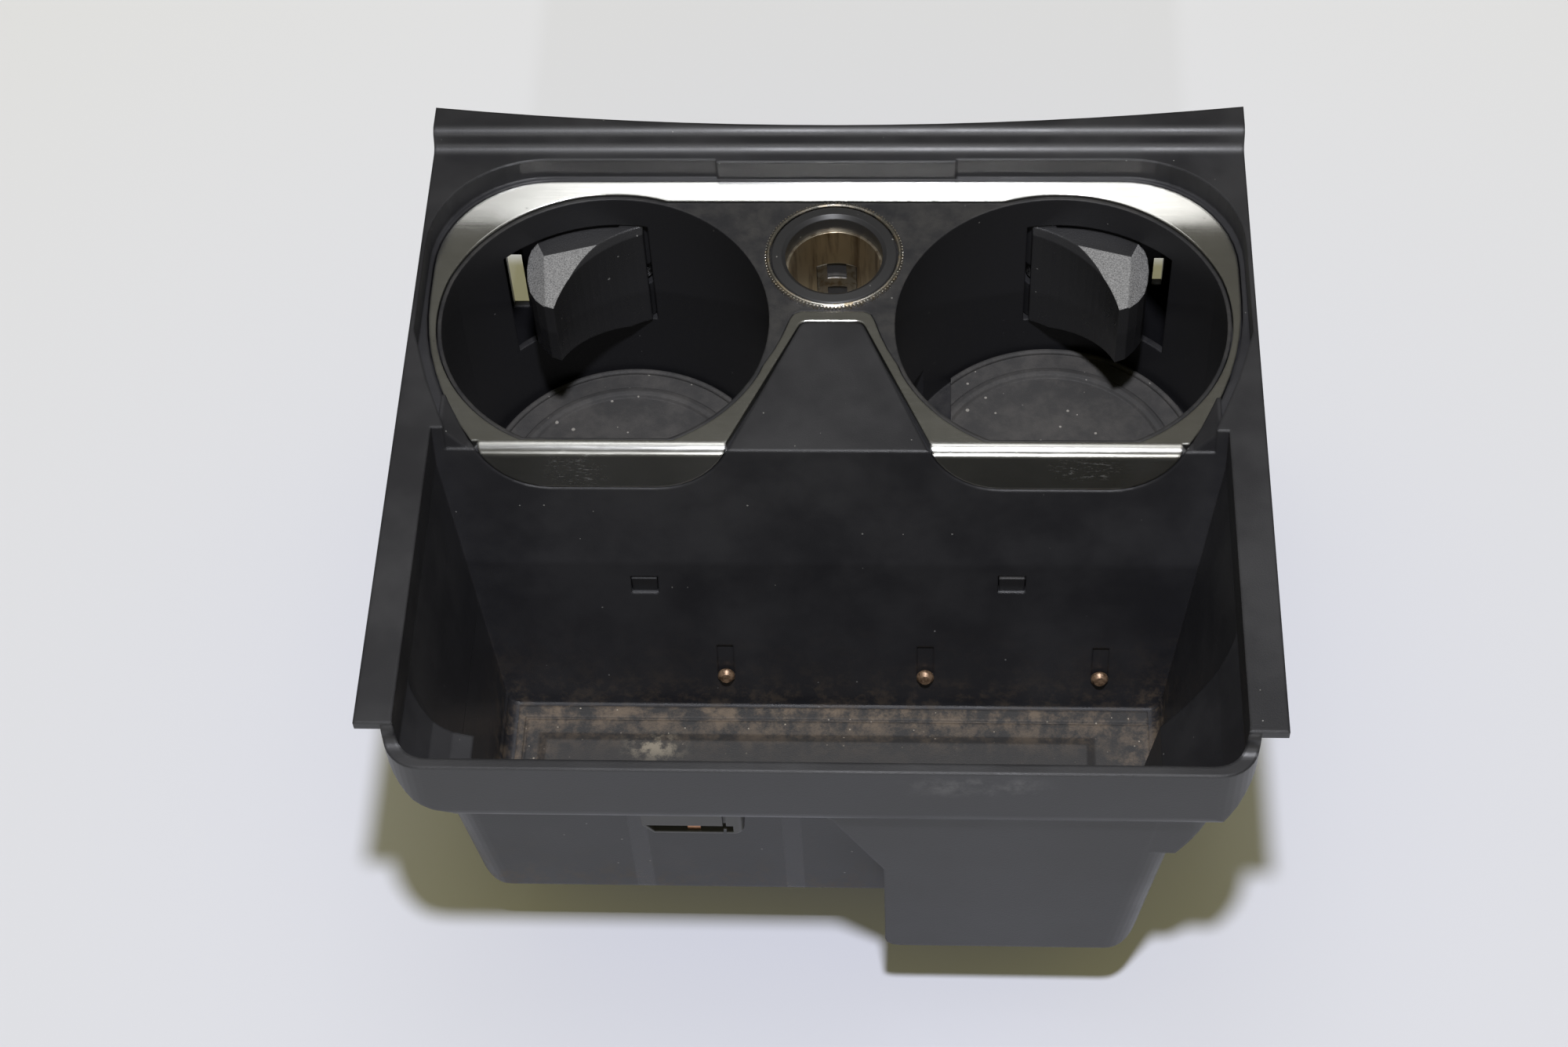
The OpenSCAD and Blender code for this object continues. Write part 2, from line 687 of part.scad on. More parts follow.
module socket_bush() color("#19191b") place() translate([0, sock_y, 0]) rotate_extrude($fn = 96)
    polygon([[mouth_r + 0.9, 0.75], [14.2, 0.55], [14.5, 0.3], [14.5, -0.5], [13.5, -0.5], [13.5, -4], [mouth_r, -4], [mouth_r, 0]]);

module socket_barrel() color("#b7a06b") place() translate([0, sock_y, 0]) difference() {
    rotate_extrude($fn = 96)
        polygon([[barrel_r, -4], [barrel_r + 1.9, -4], [barrel_r + 1.9, -4.6], [barrel_r + barrel_t, -4.6],
                 [barrel_r + barrel_t, barrel_low], [barrel_r, barrel_low]]);
    // window that the spring clip fills
    translate([0, 0, barrel_low + 1]) linear_extrude(clip_high + 0.4) polygon([[0, 0], [10, 20], [-10, 20]]);
}

module socket_sleeve() color("#202022") place() translate([0, sock_y, 0]) difference() {
    translate([0, 0, sock_low]) cylinder(r = sleeve_r, h = -4.05 - sock_low, $fn = 72);
    translate([0, 0, sock_low + 1.5]) cylinder(r = barrel_r + barrel_t + 0.05, h = 60, $fn = 72);
    translate([0, 0, -4.65]) cylinder(r = barrel_r + 1.95, h = 5, $fn = 72);
    for (x = [-5, 5]) translate([x - 0.45, -3.2, sock_low - 1]) cube([0.9, 6.4, 5]);
    translate([0, 0, sock_low - 1]) cylinder(r = 1.3, h = 5, $fn = 24);
}

// spring clip on the far wall of the barrel: a curved strap with a square window and two fingers
module socket_clip() color("#8f8a7c") place() translate([0, sock_y, barrel_low + 1.2]) difference() {
    intersection() {
        difference() {
            cylinder(r = barrel_r + barrel_t - 0.05, h = clip_high, $fn = 72);
            translate([0, 0, -1]) cylinder(r = barrel_r + 0.05, h = clip_high + 2, $fn = 72);
        }
        translate([0, 0, -1]) linear_extrude(clip_high + 2) polygon([[0, 0], [9.6, 20], [-9.6, 20]]);
    }
    translate([-2.3, 0, 5.8]) cube([4.6, 20, 5]);
    translate([-2.3, 0, 13.8]) cube([4.6, 20, 6]);
}

module socket_disc() color("#6f6c66") place() translate([0, sock_y, sock_low + 1.5]) difference() {
    union() {
        cylinder(r = barrel_r + barrel_t - 0.05, h = 1.6, $fn = 72);
        cylinder(r = 8.4, h = 2.4, $fn = 72);
    }
    translate([0, 0, -1]) cylinder(r = 1.3, h = 6, $fn = 24);
    for (x = [-5, 5]) translate([x - 0.45, -3.2, -1]) cube([0.9, 6.4, 2]);
}

module socket_contact() color("#a88b4a") place() translate([0, sock_y, sock_low]) {
    translate([0, 0, -1.2]) cylinder(r = 1.25, h = 5.3, $fn = 24);
    translate([0, 0, 3.95]) cylinder(r = 2.6, h = 1, $fn = 32);
    translate([0, 0, -1.2]) cylinder(r = 2.2, h = 1.15, $fn = 32);
}

module socket_terminals() color("#b9a873") place() translate([0, sock_y, sock_low])
    for (x = [-5, 5]) translate([x - 0.4, -3.15, -8]) cube([0.8, 6.3, 9.8]);

module wall_pegs() color("#5d4b3c") place()
    for (x = peg_x) translate([x, face_at(peg_z), peg_z]) rotate([-90 - face_a, 0, 0]) {
        translate([0, 0, -1.6]) cylinder(r1 = 1.3, r2 = 2, h = 0.9, $fn = 24);
        translate([0, 0, -0.75]) cylinder(r = 2, h = 0.6, $fn = 24);
        translate([0, 0, -0.2]) cylinder(r = peg_r, h = 4.5, $fn = 24);
    }

module bracket_housing() color("#232325") place() intersection() {
    difference() {
        union() {
            along_y(brk_y, low_left_y) polygon([[brk_x0, slot_z1], [brk_x0, brk_z1], [brk_x1 - 1.9, brk_z1],
                [brk_x1 - 1.9, brk_z0], [brk_x0 + 2.4, brk_z0]]);
            translate([brk_x1 - 2, brk_y + 1.9, brk_z0]) cube([2, low_left_y - brk_y - 1.9, brk_z1 - brk_z0]);
            // rounded post at the right end
            translate([brk_x1 - 1.9, brk_y + 1.9, brk_z0]) cylinder(r = 1.9, h = brk_z1 - brk_z0, $fn = 40);
        }
        // groove beside the post
        translate([brk_x1 - 4.4, brk_y - 1, brk_z0 - 1]) cube([0.7, 1.8, 20]);
        // slot with the contact inside
        along_y(brk_y - 1, brk_in - 1.6) polygon([[brk_x0 + 0.9, slot_z1], [brk_x1 - 2.2, slot_z1],
            [brk_x1 - 2.2, slot_z0], [brk_x0 + 2.6, slot_z0]]);
        translate([brk_x0 + 11, brk_in - 4, brk_z0 + 1.4]) rotate([-90, 0, 0]) cylinder(r = 0.8, h = 8, $fn = 24);
    }
    // the housing ends on the sloping wall
    along_x(brk_x0 - 1, brk_x1 + 1) polygon([[-120, brk_z0 - 1], [ledge_at(brk_z0 - 1) - 0.05, brk_z0 - 1],
        [ledge_at(brk_z1) - 0.05, brk_z1], [-120, brk_z1]]);
}

module bracket_contact() color("#a5643a") place() translate([brk_x0 + 11, brk_in, brk_z0 + 1.4]) {
    translate([0, -2.6, 0]) rotate([-90, 0, 0]) cylinder(r = 0.75, h = 4.2, $fn = 24);
    translate([-1.4, -3.3, -0.75]) cube([2.8, 1.2, 1.9]);
}

tray_body();
trim_frame();
cup_insert();
cup_mat_left();
cup_mat_right();
bin_mat();
flap_left();
flap_right();
flap_pin_left();
flap_pin_right();
flap_spring_left();
flap_spring_right();
socket_ring();
socket_bush();
socket_barrel();
socket_sleeve();
socket_clip();
socket_disc();
socket_contact();
socket_terminals();
wall_pegs();
bracket_housing();
bracket_contact();
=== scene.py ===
import math

import bmesh
import bpy
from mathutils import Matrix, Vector


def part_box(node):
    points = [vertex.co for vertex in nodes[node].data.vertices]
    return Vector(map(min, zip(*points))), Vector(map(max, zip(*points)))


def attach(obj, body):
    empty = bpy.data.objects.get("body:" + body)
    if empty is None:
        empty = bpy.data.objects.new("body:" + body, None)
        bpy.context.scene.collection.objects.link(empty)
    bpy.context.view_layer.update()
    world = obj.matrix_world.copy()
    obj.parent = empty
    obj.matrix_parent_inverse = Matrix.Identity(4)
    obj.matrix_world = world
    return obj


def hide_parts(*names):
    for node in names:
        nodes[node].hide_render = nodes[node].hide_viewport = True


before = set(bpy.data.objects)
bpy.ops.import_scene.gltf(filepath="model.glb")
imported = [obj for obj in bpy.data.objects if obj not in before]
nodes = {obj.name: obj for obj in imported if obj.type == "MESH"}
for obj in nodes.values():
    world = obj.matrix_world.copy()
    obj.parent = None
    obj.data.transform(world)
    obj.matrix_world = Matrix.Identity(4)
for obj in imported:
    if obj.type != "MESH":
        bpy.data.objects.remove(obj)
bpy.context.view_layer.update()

# Tray body: the moulded carrier with its side flanges, the open bin and the block round the wells.
# Half gloss black plastic with a fine grain; all other pieces sit in it. It has loose dust, brown
# dirt low in the bin, a wiped smudge on the front rim and two tape marks on the front wall.


def put(tree, kind, values=None, **settings):
    """Adds a shader node. A value that is a socket is linked, anything else becomes the default."""
    made = tree.nodes.new("ShaderNode" + kind)
    for key, value in settings.items():
        setattr(made, key, value)
    for key, value in (values or {}).items():
        if isinstance(value, bpy.types.NodeSocket):
            tree.links.new(value, made.inputs[key])
        else:
            made.inputs[key].default_value = value
    return made


def maths(tree, operation, *values):
    return put(tree, "Math", dict(enumerate(values)), operation=operation).outputs[0]


def times(tree, product, *others):
    for other in others:
        product = maths(tree, "MULTIPLY", product, other)
    return product


def step(tree, value, low, high, to_low=0.0, to_high=1.0):
    """Smooth step of a value between low and high."""
    made = put(tree, "MapRange", {0: value, 1: low, 2: high, 3: to_low, 4: to_high},
               interpolation_type="SMOOTHSTEP")
    return made.outputs[0]


def mix(tree, factor, first, second):
    return put(tree, "Mix", {0: factor, 6: first, 7: second}, data_type="RGBA").outputs[2]


def place_mm(tree):
    """Object coordinates in millimetres as a vector and as three values."""
    where = put(tree, "TexCoord").outputs["Object"]
    scaled = put(tree, "VectorMath", {0: where, 3: 1000.0}, operation="SCALE").outputs[0]
    parts = put(tree, "SeparateXYZ", {0: scaled}).outputs
    return scaled, parts[0], parts[1], parts[2]


def stretched(tree, vector, x_by, y_by, z_by):
    """The place with each direction multiplied, for a pattern drawn out along one of them."""
    return put(tree, "VectorMath", {0: vector, 1: (x_by, y_by, z_by)}, operation="MULTIPLY").outputs[0]


def noise(tree, vector, per_mm, detail=2.0, roughness=0.5):
    return put(tree, "TexNoise", {"Vector": vector, "Scale": per_mm, "Detail": detail,
                                  "Roughness": roughness}).outputs["Fac"]


def span(tree, value, low, high, soft):
    """One between low and high, falling to nothing over soft on both sides."""
    up = step(tree, value, low - soft, low + soft)
    down = step(tree, value, high - soft, high + soft, 1.0, 0.0)
    return maths(tree, "MULTIPLY", up, down)


def ends_of(tree, value, low, low_in, high_in, high):
    """One at both ends of a stretch and nothing between its inner marks."""
    return maths(tree, "MAXIMUM", step(tree, value, low, low_in, 1.0, 0.0), step(tree, value, high_in, high))


def dusted(tree, vector, colour, tone, strength, per_mm, share, size):
    """The colour with fine specks of another tone: one in a share of the cells, each a little dot."""
    cells = put(tree, "TexVoronoi", {"Vector": vector, "Scale": per_mm, "Randomness": 1.0})
    chance = put(tree, "SeparateColor", {0: cells.outputs["Color"]}).outputs
    kept = maths(tree, "LESS_THAN", chance[0], share)
    grown = maths(tree, "MULTIPLY", chance[1], size)
    dot = maths(tree, "LESS_THAN", cells.outputs["Distance"], grown)
    return mix(tree, times(tree, kept, dot, strength), colour, tone)


def finish_of(name, colour, rough, edge, metal=0.0, grain=0.0):
    """A new material with rounded looking edges and a moulded grain: it, its tree and its shader."""
    made = bpy.data.materials.new(name)
    made.use_nodes = True
    tree = made.node_tree
    tree.nodes.clear()
    shader = put(tree, "BsdfPrincipled", {"Base Color": (*colour, 1), "Roughness": rough, "Metallic": metal})
    out = put(tree, "OutputMaterial")
    tree.links.new(shader.outputs[0], out.inputs[0])
    normal = put(tree, "Bevel", {0: edge}, samples=4).outputs[0]
    if grain:
        grain_mm = 0.35
        height = noise(tree, place_mm(tree)[0], 1 / grain_mm)
        normal = put(tree, "Bump", {"Height": height, "Strength": grain, "Distance": 0.0002,
                                    "Normal": normal}).outputs[0]
    tree.links.new(normal, shader.inputs["Normal"])
    return made, tree, shader


def give(tree, shader, colour=None, rough=None):
    """Links a worked out colour or roughness to the shader."""
    if colour is not None:
        tree.links.new(colour, shader.inputs["Base Color"])
    if rough is not None:
        tree.links.new(rough, shader.inputs["Roughness"])


def dress(piece, material, angle=30):
    """Gives a piece its material, and smooth shading between faces that meet at less than the angle."""
    piece.data.materials.clear()
    piece.data.materials.append(material)
    for polygon in piece.data.polygons:
        polygon.use_smooth = True
    piece.data.set_sharp_from_angle(angle=math.radians(angle))


black, tree, shader = finish_of("tray_black", (0.020, 0.020, 0.023), 0.40, edge=0.0009, grain=0.12)
vector, x, y, z = place_mm(tree)
cloud = noise(tree, vector, 0.035, 4.0, 0.6)
colour = mix(tree, step(tree, cloud, 0.35, 0.7), (0.013, 0.013, 0.0155, 1), (0.021, 0.021, 0.024, 1))
# brown dirt along the foot of the bin walls, thicker at the left and right ends
brown_dirt = (0.13, 0.095, 0.062, 1)
bin_foot, dirt_crust, dirt_top = 30.0, 42.0, 62.0
low = step(tree, z, bin_foot, dirt_top, 1.0, 0.0)
side = ends_of(tree, x, -84.0, -70.0, 66.0, 82.0)
inside = times(tree, span(tree, y, -80.0, -8.0, 6.0), span(tree, x, -86.5, 86.5, 1.0))
patchy = step(tree, noise(tree, vector, 0.22, 6.0, 0.75), 0.44, 0.66)
crust = step(tree, z, bin_foot, dirt_crust, 1.0, 0.25)
dirt = times(tree, low, inside, patchy, crust, maths(tree, "MULTIPLY_ADD", side, 0.5, 0.25))
colour = mix(tree, dirt, colour, brown_dirt)
# loose dust, and a pale wiped smudge at the right of the front rim
colour = dusted(tree, vector, colour, (0.34, 0.34, 0.34, 1), 0.40, per_mm=0.55, share=0.07, size=0.13)
on_rim = times(tree, span(tree, x, 20.0, 45.0, 5.0), span(tree, z, 99.0, 105.0, 2.5),
               span(tree, y, -90.0, -86.0, 0.5))
smear = times(tree, on_rim, step(tree, noise(tree, vector, 0.25, 5.0, 0.7), 0.4, 0.7), 0.35)
colour = mix(tree, smear, colour, (0.16, 0.16, 0.17, 1))
# two glossier stripes where tape was stuck on the set-back part of the front wall
tape_wide, tape_soft = 4.0, 0.35
tape_left_x, tape_right_x = -43.5, -9.5
left_tape = span(tree, x, tape_left_x, tape_left_x + tape_wide, tape_soft)
right_tape = span(tree, x, tape_right_x, tape_right_x + tape_wide, tape_soft)
on_wall = times(tree, span(tree, z, 20.0, 66.0, 3.0), span(tree, y, -74.0, -68.0, 0.5))
stripes = times(tree, maths(tree, "MAXIMUM", left_tape, right_tape), on_wall)
rough = step(tree, cloud, 0.3, 0.7, 0.34, 0.46)
rough = maths(tree, "MULTIPLY_ADD", stripes, -0.18, rough)
rough = maths(tree, "MULTIPLY_ADD", dirt, 0.4, rough)
give(tree, shader, colour, rough)
dress(nodes["tray_body"], black, angle=32)

# Cup insert: the double well with its niches and the raised middle deck, moulded in one.
# Matt black plastic, clipped in under the deck of the tray; grey dust lies on what faces up.
well_black = (0.010, 0.010, 0.012)
well, tree, shader = finish_of("well_black", well_black, 0.50, edge=0.0006, grain=0.18)
vector = place_mm(tree)[0]


def face_height(tree):
    """How far the surface faces up: one on a level face, nothing on a wall."""
    return put(tree, "SeparateXYZ", {0: put(tree, "NewGeometry").outputs["Normal"]}).outputs[2]


settled = step(tree, face_height(tree), 0.5, 0.95)
dust = times(tree, settled, step(tree, noise(tree, vector, 0.12, 5.0, 0.7), 0.35, 0.7), 0.22)
colour = mix(tree, dust, (*well_black, 1), (0.09, 0.085, 0.08, 1))
colour = dusted(tree, vector, colour, (0.30, 0.30, 0.30, 1), 0.35, per_mm=0.6, share=0.06, size=0.13)
give(tree, shader, colour)
dress(nodes["cup_insert"], well, angle=32)

# Trim: the silver frame round the wells, lying in the recess, with two lips folded down the front.
# Satin silver with a fine brushing along X, a little warmer at the right end and scuffed on the lips.
silver, tree, shader = finish_of("trim_silver", (0.60, 0.60, 0.58), 0.17, metal=0.97, edge=0.0006)
vector, x, y, z = place_mm(tree)
lines = noise(tree, stretched(tree, vector, 0.05, 1.0, 1.0), 2.2, 3.0, 0.6)
worn = noise(tree, vector, 0.06, 4.0, 0.6)
colour = mix(tree, step(tree, worn, 0.35, 0.7), (0.56, 0.56, 0.54, 1), (0.66, 0.66, 0.64, 1))
warm = times(tree, step(tree, x, 40.0, 80.0), step(tree, z, 96.0, 104.0, 1.0, 0.3), 0.35)
colour = mix(tree, warm, colour, (0.55, 0.48, 0.34, 1))
# fine scuffs on both lips
left_lip = times(tree, span(tree, x, -62.0, -50.0, 5.0), span(tree, z, 96.5, 104.0, 2.0))
right_lip = times(tree, span(tree, x, 49.0, 64.0, 5.0), span(tree, z, 98.5, 103.5, 2.0))
fine = noise(tree, stretched(tree, vector, 0.6, 1.0, 2.6), 0.9, 6.0, 0.8)
scuff = times(tree, maths(tree, "ADD", left_lip, right_lip), step(tree, fine, 0.55, 0.62))
colour = mix(tree, scuff, colour, (0.9, 0.9, 0.9, 1))
colour = dusted(tree, vector, colour, (0.25, 0.25, 0.24, 1), 0.35, per_mm=0.4, share=0.12, size=0.14)
give(tree, shader, colour, maths(tree, "MULTIPLY_ADD", scuff, 0.3, step(tree, lines, 0.3, 0.7, 0.15, 0.19)))
# the rear band is slightly crowned, so it mirrors the light above instead of the wall behind it
crown = (0.0, -0.23, 0.0)
on_band = step(tree, y, 50.0, 66.0)
flat = shader.inputs["Normal"].links[0].from_socket
lean = put(tree, "VectorMath", {0: crown, 3: on_band}, operation="SCALE").outputs[0]
leaning = put(tree, "VectorMath", {0: flat, 1: lean}, operation="ADD").outputs[0]
crowned = put(tree, "VectorMath", {0: leaning}, operation="NORMALIZE").outputs[0]
tree.links.new(crowned, shader.inputs["Normal"])
dress(nodes["trim_frame"], silver, angle=32)

# Cup mats: two round mats with raised rings, lying loose on the floors of the wells.
# Dark grey-brown rubber with dust caught between the rings.
rubber, tree, shader = finish_of("mat_rubber", (0.05, 0.047, 0.044), 0.7, edge=0.0005, grain=0.25)
vector = place_mm(tree)[0]
grime = times(tree, step(tree, noise(tree, vector, 0.10, 6.0, 0.75), 0.38, 0.68), 0.7)
colour = mix(tree, grime, (0.030, 0.029, 0.029, 1), (0.062, 0.058, 0.055, 1))
colour = dusted(tree, vector, colour, (0.36, 0.34, 0.31, 1), 0.6, per_mm=0.45, share=0.3, size=0.22)
give(tree, shader, colour)
for name in ("cup_mat_left", "cup_mat_right"):
    dress(nodes[name], rubber)

# Bin mat: the liner that lies on the floor of the bin, with a raised field in its middle.
# Soft dark rubber, brown with dirt along its rear edge and at both ends, with one pale stain.
liner, tree, shader = finish_of("bin_rubber", (0.04, 0.037, 0.034), 0.6, edge=0.0008, grain=0.3)
vector, x, y, z = place_mm(tree)
rear = step(tree, y, -40.0, -27.0)
where = maths(tree, "MAXIMUM", rear, ends_of(tree, x, -76.0, -60.0, 58.0, 74.0))
patchy = step(tree, noise(tree, vector, 0.16, 6.0, 0.75), 0.40, 0.64)
grime = times(tree, patchy, maths(tree, "MULTIPLY_ADD", where, 0.75, 0.06))
colour = mix(tree, grime, (0.022, 0.021, 0.021, 1), (0.14, 0.105, 0.075, 1))
on_stain = times(tree, span(tree, x, -47.0, -36.0, 4.0), span(tree, y, -40.0, -34.0, 3.0))
stain = times(tree, on_stain, step(tree, noise(tree, vector, 0.3, 5.0, 0.7), 0.42, 0.6), 0.6)
colour = mix(tree, stain, colour, (0.30, 0.26, 0.20, 1))
crumbs = maths(tree, "MULTIPLY_ADD", where, 0.5, 0.1)
colour = dusted(tree, vector, colour, (0.45, 0.40, 0.33, 1), crumbs, per_mm=0.8, share=0.20, size=0.20)
give(tree, shader, colour)
dress(nodes["bin_mat"], liner)

# Flaps: the two sprung cup grips that swing out of the well walls, each on its own steel pin.
# Harder and glossier black plastic than the wells, with a painted highlight, broken up by a coarse noise, on
# the sloping facets.
flap_black = (0.018, 0.018, 0.020)
gloss, tree, shader = finish_of("flap_gloss", flap_black, 0.30, edge=0.0006, grain=0.3)
vector, x, y, z = place_mm(tree)
# painted highlight: a pale tone on the facets that slope up, chosen by which way they face and broken up by
# a coarse noise; these facets are also made rougher
sloping = span(tree, face_height(tree), 0.72, 0.985, 0.006)
painted_highlight_facets = times(tree, sloping, step(tree, z, 88.0, 89.0))
coarse = step(tree, noise(tree, vector, 3.2, 3.0, 0.7), 0.15, 0.85)
colour = mix(tree, times(tree, painted_highlight_facets, coarse), (*flap_black, 1), (0.25, 0.25, 0.26, 1))
colour = dusted(tree, vector, colour, (0.3, 0.3, 0.3, 1), 0.4, per_mm=0.4, share=0.15, size=0.14)
rough = step(tree, noise(tree, vector, 0.15, 4.0), 0.3, 0.7, 0.26, 0.36)
give(tree, shader, colour, maths(tree, "MULTIPLY_ADD", painted_highlight_facets, 0.2, rough))
for name in ("flap_left", "flap_right"):
    dress(nodes[name], gloss)

# Flap pins and springs: the pins go through the flange and the lug of the insert, and the springs
# are closed coils round them. Both are drawn steel wire with a slightly uneven shine.
steel, tree, shader = finish_of("steel_wire", (0.55, 0.55, 0.56), 0.32, metal=1.0, edge=0.0002)
drawn = noise(tree, place_mm(tree)[0], 1.4, 4.0)
give(tree, shader, rough=step(tree, drawn, 0.3, 0.7, 0.24, 0.42))
for name in ("flap_pin_left", "flap_pin_right", "flap_spring_left", "flap_spring_right"):
    dress(nodes[name], steel)

# Socket ring: the bright ring round the mouth of the power socket, which lies on the bush.
# Tarnished chrome with a warm cast; its knurl is one small bar repeated round the ring.
chrome, tree, shader = finish_of("ring_chrome", (0.70, 0.67, 0.60), 0.22, metal=1.0, edge=0.00015)
tarnish = step(tree, noise(tree, place_mm(tree)[0], 0.5, 5.0, 0.7), 0.38, 0.66)
colour = mix(tree, tarnish, (0.74, 0.72, 0.68, 1), (0.40, 0.33, 0.22, 1))
give(tree, shader, colour, maths(tree, "MULTIPLY_ADD", tarnish, 0.25, 0.18))


def turned(name, profile, centre, segments=128):
    """A closed ring turned from a profile of radius and height in millimetres, counter-clockwise."""
    built = bmesh.new()
    rows = []
    for i in range(segments):
        a = 2 * math.pi * i / segments
        row = [(centre[0] + r * math.cos(a), centre[1] + r * math.sin(a), centre[2] + h) for r, h in profile]
        rows.append([built.verts.new(Vector(corner) / 1000) for corner in row])
    for i in range(segments):
        here, there = rows[i], rows[(i + 1) % segments]
        for j in range(len(profile)):
            k = (j + 1) % len(profile)
            built.faces.new((here[j], there[j], there[k], here[k]))
    bmesh.ops.recalc_face_normals(built, faces=built.faces)
    mesh = bpy.data.meshes.new(name)
    built.to_mesh(mesh)
    built.free()
    piece = bpy.data.objects.new(name, mesh)
    bpy.context.collection.objects.link(piece)
    return piece


def knurl_nodes(name, material):
    """Geometry nodes: a small bar repeated round a circle, with its sizes as named inputs."""
    tree = bpy.data.node_groups.new(name, "GeometryNodeTree")
    tree.interface.new_socket(name="Geometry", in_out="OUTPUT", socket_type="NodeSocketGeometry")
    for label, kind in (("Teeth", "Int"), ("Radius", "Float"), ("Bar", "Vector"), ("Centre", "Vector")):
        tree.interface.new_socket(name=label, in_out="INPUT", socket_type="NodeSocket" + kind)
    start, end = tree.nodes.new("NodeGroupInput"), tree.nodes.new("NodeGroupOutput")
    circle = tree.nodes.new("GeometryNodeMeshCircle")
    bar = tree.nodes.new("GeometryNodeMeshCube")
    spread = tree.nodes.new("GeometryNodeInstanceOnPoints")
    turn = tree.nodes.new("FunctionNodeAlignRotationToVector")
    turn.axis = "X"
    where = tree.nodes.new("GeometryNodeInputPosition")
    real = tree.nodes.new("GeometryNodeRealizeInstances")
    move = tree.nodes.new("GeometryNodeTransform")
    paint = tree.nodes.new("GeometryNodeSetMaterial")
    paint.inputs["Material"].default_value = material
    for source, target in (
            (start.outputs["Teeth"], circle.inputs["Vertices"]),
            (start.outputs["Radius"], circle.inputs["Radius"]),
            (circle.outputs[0], spread.inputs["Points"]),
            (start.outputs["Bar"], bar.inputs["Size"]),
            (bar.outputs["Mesh"], spread.inputs["Instance"]),
            (where.outputs[0], turn.inputs["Vector"]),
            (turn.outputs[0], spread.inputs["Rotation"]),
            (spread.outputs[0], real.inputs[0]),
            (real.outputs[0], move.inputs["Geometry"]),
            (start.outputs["Centre"], move.inputs["Translation"]),
            (move.outputs[0], paint.inputs["Geometry"]),
            (paint.outputs[0], end.inputs[0])):
        tree.links.new(source, target)
    return tree


# sizes in millimetres, from the plain ring of the frame
low, high = (Vector(corner) * 1000 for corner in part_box("socket_ring"))
ring_x, ring_y, ring_foot = (low.x + high.x) / 2, (low.y + high.y) / 2, low.z
ring_r, tall = (high.x - low.x) / 2, high.z - low.z
bore_r, bore_chamfer, tooth_gap = 14.7, 0.25, 0.35
profile = [(bore_r, 0), (ring_r - tooth_gap, 0), (ring_r - tooth_gap, tall - 0.35),
           (ring_r - 0.6, tall - 0.05), (ring_r - 0.75, tall),
           (bore_r + bore_chamfer, tall), (bore_r, tall - bore_chamfer)]
ring = turned("socket_ring_knurled", profile, (ring_x, ring_y, ring_foot))
tooth_count, tooth_r = 116, ring_r - 0.27
tooth_size = Vector((0.50, 0.42, tall - 0.35))
teeth_centre = Vector((ring_x, ring_y, ring_foot + (tall - 0.3) / 2))
carrier = bpy.data.objects.new("knurl_carrier", bpy.data.meshes.new("knurl_carrier"))
bpy.context.collection.objects.link(carrier)
knurl = carrier.modifiers.new("knurl", "NODES")
knurl.node_group = knurl_nodes("ring_knurl", chrome)
sockets = knurl.node_group.interface.items_tree
inputs = {item.name: item.identifier for item in sockets if item.in_out == "INPUT"}
knurl[inputs["Teeth"]] = tooth_count
knurl[inputs["Radius"]] = tooth_r / 1000
knurl[inputs["Bar"]] = tooth_size / 1000
knurl[inputs["Centre"]] = teeth_centre / 1000
bpy.context.view_layer.update()
teeth = bpy.data.meshes.new_from_object(carrier.evaluated_get(bpy.context.evaluated_depsgraph_get()))
bpy.data.objects.remove(carrier)
joined = bmesh.new()
joined.from_mesh(ring.data)
joined.from_mesh(teeth)
joined.to_mesh(ring.data)
joined.free()
dress(ring, chrome)
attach(ring, "tray")
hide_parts("socket_ring")

# Socket bush: the funnel between the ring and the barrel, pushed into the hole of the deck.
# Smooth half gloss black plastic with a little dust.
bush_black = (0.020, 0.020, 0.022)
bush, tree, shader = finish_of("bush_black", bush_black, 0.33, edge=0.0003)
vector = place_mm(tree)[0]
colour = dusted(tree, vector, (*bush_black, 1), (0.3, 0.3, 0.3, 1), 0.4, per_mm=0.6, share=0.2, size=0.15)
give(tree, shader, colour)
dress(nodes["socket_bush"], bush)

# Socket barrel: the thin metal tube that takes the plug and makes the outer contact.
# Dull brass plating with darker streaks along it from use; it sits in the sleeve.
plated, tree, shader = finish_of("barrel_plated", (0.45, 0.38, 0.26), 0.36, metal=1.0, edge=0.0002)
streaks = noise(tree, stretched(tree, place_mm(tree)[0], 1.0, 1.0, 0.12), 0.5, 4.0, 0.6)
give(tree, shader, mix(tree, step(tree, streaks, 0.4, 0.7), (0.78, 0.68, 0.50, 1), (0.36, 0.28, 0.19, 1)))
dress(nodes["socket_barrel"], plated)

# Socket sleeve: the insulating body under the deck that holds the barrel and the disc.
# Plain moulded black plastic, not seen from above.
moulded, tree, shader = finish_of("sleeve_black", (0.03, 0.03, 0.032), 0.5, edge=0.0003, grain=0.1)
clouded = noise(tree, place_mm(tree)[0], 0.1, 4.0)
give(tree, shader, mix(tree, clouded, (0.026, 0.026, 0.028, 1), (0.036, 0.036, 0.038, 1)))
dress(nodes["socket_sleeve"], moulded)

# Socket clip: the strip with a square window in the far wall of the barrel that grips the plug.
# Dull grey spring steel, browned in places.
strip, tree, shader = finish_of("clip_strip", (0.50, 0.48, 0.43), 0.34, metal=1.0, edge=0.00015)
browned = step(tree, noise(tree, place_mm(tree)[0], 0.7, 4.0), 0.4, 0.7)
give(tree, shader, mix(tree, browned, (0.52, 0.50, 0.46, 1), (0.30, 0.26, 0.20, 1)))
dress(nodes["socket_clip"], strip)

